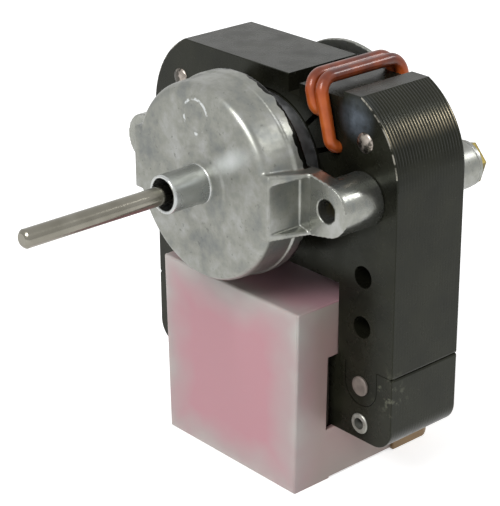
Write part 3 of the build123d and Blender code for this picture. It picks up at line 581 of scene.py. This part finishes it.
# rivets: domed heads at the shoulders, flat ones at the leg tongues, plain shanks between
rivets = {
    "upper": ((-22.8, 9.35), (22.8, 9.35)),  # mm
    "lower": ((-23.0, -33.7), (23.0, -33.7)),
    "shank": 1.55, "head": 1.75, "rise": 0.5,
    "front": 8.45, "rear": 24.05,
}


def makeRivets(r):
    bm = bmesh.new()
    head, rise, front, rear = r["head"], r["rise"], r["front"], r["rear"]
    dome = [(head * math.cos(a), rise * math.sin(a)) for a in (math.radians(d) for d in range(0, 91, 15))]
    pan = [(head, 0.0), (head, 0.6 * rise), (head - 0.12, 0.85 * rise), (head - 0.4, 0.95 * rise),
           (0.55 * head, 0.9 * rise), (0.0, 0.86 * rise)]
    for material, (places, curve) in enumerate(((r["upper"], dome), (r["lower"], pan))):
        for place in places:
            outline = [(max(radius, 0.0), front - y) for radius, y in reversed(curve)]
            outline += [(r["shank"], front), (r["shank"], rear)]
            outline += [(max(radius, 0.0), rear + y) for radius, y in curve]
            turnShape(bm, place, outline, 32, material)
    closeShapes(bm)
    return addPiece("rivetsWithHeads", bm, [platedSteel, stainedSteel], "motor_frame", ("stack_rivets",),
                    40)


makeRivets(rivets)


# through screws: hexagon head with a round washer face, plain shank, thread at the tip
screws = {
    "places": ((-22.85, 0.0), (22.85, 0.0)),  # mm
    "shank": 1.72, "root": 1.45, "tip": 4.6, "threadEnd": 10.6, "pitch": 0.7,
    "seat": 31.6, "washer": 4.05, "washerRise": 0.85, "acrossFlats": 6.7, "headRise": 2.05, "bevel": 0.3,
    "headTurn": 17,  # degrees
}


def makeScrews(s):
    bm = bmesh.new()
    outline = [(0.0, s["tip"]), (s["root"], s["tip"])]
    y = s["tip"]
    while y < s["threadEnd"]:
        outline += [(s["root"], y + 0.1), (s["shank"], y + 0.3), (s["shank"], y + 0.4), (s["root"], y + 0.6)]
        y += s["pitch"]
    outline += [(s["shank"], y + 0.3), (s["shank"], s["seat"])]
    outline += [(s["washer"] - 0.15, s["seat"]), (s["washer"], s["seat"] + 0.15),
                (s["washer"], s["seat"] + s["washerRise"] - 0.15),
                (s["washer"] - 0.15, s["seat"] + s["washerRise"]), (0.0, s["seat"] + s["washerRise"])]
    for place in s["places"]:
        turnShape(bm, place, outline, 36)
    closeShapes(bm)
    low, high = s["seat"] + s["washerRise"] - 0.02, s["seat"] + s["headRise"]
    for place in s["places"]:
        turn = Matrix.Rotation(math.radians(-90), 4, "X") @ Matrix.Rotation(math.radians(s["headTurn"]), 4, "Z")
        where = Matrix.Translation(Vector((place[0], low, place[1])) * mm) @ turn
        ring = bmesh.ops.create_circle(bm, cap_ends=True, segments=6, matrix=where,
                                       radius=s["acrossFlats"] / math.sqrt(3) * mm)["verts"]
        cap = next(face for face in ring[0].link_faces if len(face.verts) == 6)
        grown = bmesh.ops.extrude_face_region(bm, geom=[cap], use_keep_orig=True)["geom"]
        top = [item for item in grown if isinstance(item, bmesh.types.BMVert)]
        bmesh.ops.translate(bm, verts=top, vec=Vector((0, high - low, 0)) * mm)
        rim = [edge for edge in bm.edges if edge.verts[0] in top and edge.verts[1] in top]
        bmesh.ops.bevel(bm, geom=rim, offset=s["bevel"] * mm, affect="EDGES", segments=3, profile=0.5,
                        material=-1, clamp_overlap=True)
    bmesh.ops.recalc_face_normals(bm, faces=bm.faces)
    for face in bm.faces:
        inWasher = s["seat"] - 0.01 < face.calc_center_median().y / mm < s["seat"] + s["washerRise"] - 0.01
        face.material_index = 1 if inWasher and len(face.verts) == 4 else 0
    return addPiece("hexagonScrews", bm, [yellowZinc, rearZinc], "motor_frame", ("through_screws",),
                    30)


makeScrews(screws)


# shaft: ground rod with a turned chamfer at each end
shaftSize = {"radius": 1.5875, "tip": -41.9, "rear": 36.6, "chamfer": 0.5, "break": 0.08}  # mm


def makeShaft(s):
    bm = bmesh.new()
    radius, tip, rear, chamfer, soft = s["radius"], s["tip"], s["rear"], s["chamfer"], s["break"]
    outline = [(0.0, tip), (radius - chamfer - soft, tip), (radius - chamfer + soft, tip + soft),
               (radius - soft, tip + chamfer - soft), (radius, tip + chamfer + soft),
               (radius, rear - chamfer - soft), (radius - soft, rear - chamfer + soft),
               (radius - chamfer, rear), (0.0, rear)]
    turnShape(bm, (0, 0), outline, 64)
    closeShapes(bm)
    return addPiece("groundShaft", bm, [groundSteel], "rotor", ("shaft",), 25)


makeShaft(shaftSize)


# coil covers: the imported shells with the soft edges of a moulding
mouldings = (("coil_cover", "coilCoverMoulding", nylon, "natural_nylon", 0.2),  # mm of rounding
             ("coil_end_cover", "endCoverMoulding", tanNylon, "tan_nylon", 0.2))


def makeMouldings():
    for nodeName, pieceName, material, slotName, width in mouldings:
        bm = copyOfNode(nodeName)
        bmesh.ops.dissolve_limit(bm, angle_limit=math.radians(0.5), verts=bm.verts, edges=bm.edges)
        sharp = [e for e in bm.edges if len(e.link_faces) == 2 and e.calc_face_angle() > math.radians(50)]
        bmesh.ops.bevel(bm, geom=sharp, offset=width * mm, affect="EDGES", segments=2, profile=0.5,
                        material=-1, clamp_overlap=True)
        addPiece(pieceName, bm, [material], "motor_frame", (nodeName,), 40)


makeMouldings()


# floor, world and lamps
room = {
    "floor": -54.0,  # mm
    "worldLevel": 0.42,
    "keyPower": 3.5, "keyTurn": 15, "keyRise": 45, "keyAway": 700, "keySize": 320,
    "windowPower": 0.5, "windowTurn": 146, "windowRise": 34, "windowAway": 500, "windowSize": 110,
}


def makeRoom(r):
    world = bpy.data.worlds.new("paleStudio")
    world.use_nodes = True
    bpy.context.scene.world = world
    paper = bpy.data.materials.new("whitePaper")
    paper.use_nodes = True
    paper.node_tree.nodes["Principled BSDF"].inputs["Base Color"].default_value = (0.85, 0.85, 0.85, 1)
    paper.node_tree.nodes["Principled BSDF"].inputs["Roughness"].default_value = 0.9
    for tree in (world.node_tree, paper.node_tree):
        path = addNode(tree, "LightPath")
        seen = addNode(tree, "Math", {"operation": "MAXIMUM"},
                       links={0: path.outputs["Is Camera Ray"], 1: path.outputs["Is Glossy Ray"]})
        seen = addNode(tree, "Math", {"operation": "MAXIMUM"},
                       links={0: seen, 1: path.outputs["Is Transmission Ray"]})
        if tree is world.node_tree:
            dim = addNode(tree, "Background", inputs={"Color": (1, 1, 1, 1), "Strength": r["worldLevel"]})
            white = addNode(tree, "Background", inputs={"Color": (1, 1, 1, 1), "Strength": 1.0})
            mix = addNode(tree, "MixShader", links={0: seen, 1: dim, 2: white})
            tree.links.new(mix.outputs[0], tree.nodes["World Output"].inputs["Surface"])
        else:
            # white to the camera, with the lit paper added so that only the shadow shows
            level = addNode(tree, "Math", {"operation": "MULTIPLY"}, {1: 0.62}, {0: seen})
            glow = addNode(tree, "Emission", inputs={"Color": (1, 1, 1, 1)}, links={"Strength": level})
            both = addNode(tree, "AddShader", links={0: tree.nodes["Principled BSDF"], 1: glow})
            tree.links.new(both.outputs[0], tree.nodes["Material Output"].inputs["Surface"])

    bm = bmesh.new()
    bmesh.ops.create_grid(bm, x_segments=2, y_segments=2, size=1.5)
    bmesh.ops.translate(bm, verts=bm.verts, vec=(0, 0, r["floor"] * mm))
    mesh = bpy.data.meshes.new("paperFloor")
    bm.to_mesh(mesh)
    bm.free()
    mesh.materials.append(paper)
    floor = bpy.data.objects.new("paperFloor", mesh)
    bpy.context.scene.collection.objects.link(floor)

    for lamp in ("key", "window"):
        turn, rise = math.radians(r[lamp + "Turn"]), math.radians(r[lamp + "Rise"])
        away = Vector((math.sin(turn) * math.cos(rise), -math.cos(turn) * math.cos(rise), math.sin(rise)))
        data = bpy.data.lights.new(lamp + "Lamp", "AREA")
        data.energy = r[lamp + "Power"]
        data.size = r[lamp + "Size"] * mm
        light = bpy.data.objects.new(lamp + "Lamp", data)
        light.matrix_world = (Matrix.Translation(away * r[lamp + "Away"] * mm)
                              @ away.to_track_quat("Z", "Y").to_matrix().to_4x4())
        bpy.context.scene.collection.objects.link(light)


makeRoom(room)
print("room and lamps made")
